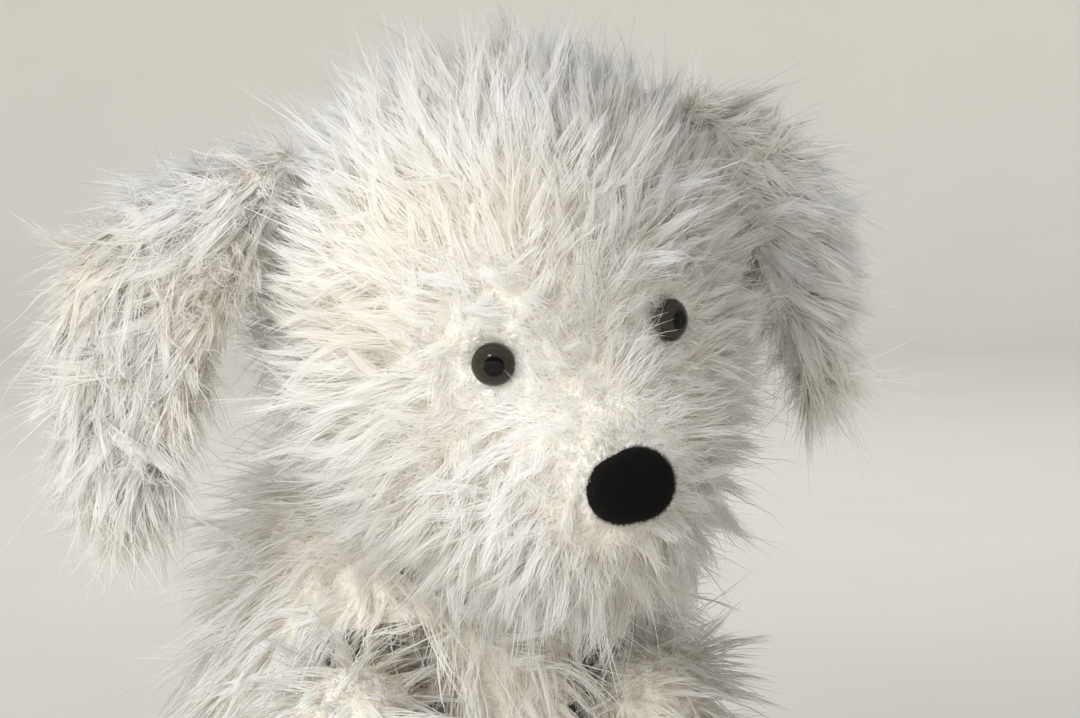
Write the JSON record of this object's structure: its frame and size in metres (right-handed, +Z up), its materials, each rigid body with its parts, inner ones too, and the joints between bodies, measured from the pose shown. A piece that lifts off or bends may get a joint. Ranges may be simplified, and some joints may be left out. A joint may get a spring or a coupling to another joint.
{
  "type": "plush dog",
  "caption": "Seated shaggy plush dog with a tilted round head, drooping ears, domed plastic eyes, felt nose, stuffed legs and short tail.",
  "frame": {"origin": "middle of the flat base that the dog sits on", "axes": "+Z up, -Y the way the dog faces, +X the dog's own left"},
  "size_m": [0.238, 0.2591, 0.2926],
  "materials": {
    "long_pile_fabric": "matte",
    "filling": "matte",
    "pouch_cloth": "matte",
    "pellets": "matte",
    "eye_iris": "satin",
    "eye_pupil": "gloss",
    "eye_lens": "gloss",
    "washer": "matte",
    "nose_felt": "matte"
  },
  "bodies": {
    "torso": {"body_base_panel": "long_pile_fabric", "chest_gusset": "long_pile_fabric", "body_right_panel": "long_pile_fabric", "body_left_panel": "long_pile_fabric", "body_filling": "filling", "pellets": "pellets", "pellet_pouch": "pouch_cloth"},
    "collar": {"neck_collar": "long_pile_fabric"},
    "neck_core": {"neck_filling": "filling"},
    "head": {"head_filling": "filling", "head_gusset": "long_pile_fabric", "head_right_panel": "long_pile_fabric", "head_left_panel": "long_pile_fabric", "head_chin_panel": "long_pile_fabric", "nose_padding": "filling", "nose_cover": "nose_felt", "right_eye_iris": "eye_iris", "right_eye_pupil": "eye_pupil", "right_eye_lens": "eye_lens", "right_eye_washer": "washer", "left_eye_iris": "eye_iris", "left_eye_pupil": "eye_pupil", "left_eye_lens": "eye_lens", "left_eye_washer": "washer"},
    "tail": {"tail_cover": "long_pile_fabric", "tail_filling": "filling"},
    "right_ear": {"right_ear_front_panel": "long_pile_fabric", "right_ear_back_panel": "long_pile_fabric"},
    "right_fore_leg": {"right_fore_leg_cover": "long_pile_fabric", "right_fore_leg_filling": "filling"},
    "right_hind_leg": {"right_hind_leg_cover": "long_pile_fabric", "right_hind_leg_filling": "filling"},
    "left_ear": {"left_ear_front_panel": "long_pile_fabric", "left_ear_back_panel": "long_pile_fabric"},
    "left_fore_leg": {"left_fore_leg_cover": "long_pile_fabric", "left_fore_leg_filling": "filling"},
    "left_hind_leg": {"left_hind_leg_cover": "long_pile_fabric", "left_hind_leg_filling": "filling"}
  },
  "joints": [
    {"name": "neck_turn", "type": "hinge", "parent": "torso", "child": "collar", "pos_m": [0, -0.0399, 0.1823], "axis": [0, -0.6293, 0.7771], "range_deg": [-25, 25], "stiffness_Nm_per_rad": 1.2},
    {"name": "neck_nod", "type": "hinge", "parent": "collar", "child": "neck_core", "pos_m": [0, -0.0399, 0.1823], "axis": [1, 0, 0], "range_deg": [-14, 12], "stiffness_Nm_per_rad": 1.5},
    {"name": "neck_tilt", "type": "hinge", "parent": "neck_core", "child": "head", "pos_m": [0, -0.0399, 0.1823], "axis": [0, -1, 0], "range_deg": [-15, 8], "stiffness_Nm_per_rad": 1.5},
    {"name": "right_ear_fold", "type": "hinge", "parent": "head", "child": "right_ear", "pos_m": [-0.06675, -0.07715, 0.25707], "axis": [0.3175, -0.2127, 0.9241], "range_deg": [-30, 40], "stiffness_Nm_per_rad": 0.15},
    {"name": "right_fore_leg_swing", "type": "hinge", "parent": "torso", "child": "right_fore_leg", "pos_m": [-0.042, -0.05, 0.118], "axis": [-0.9973, -0.0316, -0.0669], "range_deg": [0, 40], "stiffness_Nm_per_rad": 0.2},
    {"name": "right_hind_leg_spread", "type": "hinge", "parent": "torso", "child": "right_hind_leg", "pos_m": [-0.06, -0.006, 0.025], "axis": [0, 0, -1], "range_deg": [0, 35], "stiffness_Nm_per_rad": 0.2},
    {"name": "left_ear_fold", "type": "hinge", "parent": "head", "child": "left_ear", "pos_m": [0.03901, -0.07616, 0.26895], "axis": [0.5521, 0.1902, -0.8118], "range_deg": [-30, 40], "stiffness_Nm_per_rad": 0.15},
    {"name": "left_fore_leg_swing", "type": "hinge", "parent": "torso", "child": "left_fore_leg", "pos_m": [0.042, -0.05, 0.118], "axis": [-0.9973, 0.0316, 0.0669], "range_deg": [0, 40], "stiffness_Nm_per_rad": 0.2},
    {"name": "left_hind_leg_spread", "type": "hinge", "parent": "torso", "child": "left_hind_leg", "pos_m": [0.06, -0.006, 0.025], "axis": [0, 0, 1], "range_deg": [0, 35], "stiffness_Nm_per_rad": 0.2},
    {"name": "tail_wag", "type": "hinge", "parent": "torso", "child": "tail", "pos_m": [0, 0.064, 0.056], "axis": [0, -0.6157, 0.788], "range_deg": [-30, 30], "stiffness_Nm_per_rad": 0.1}
  ]
}
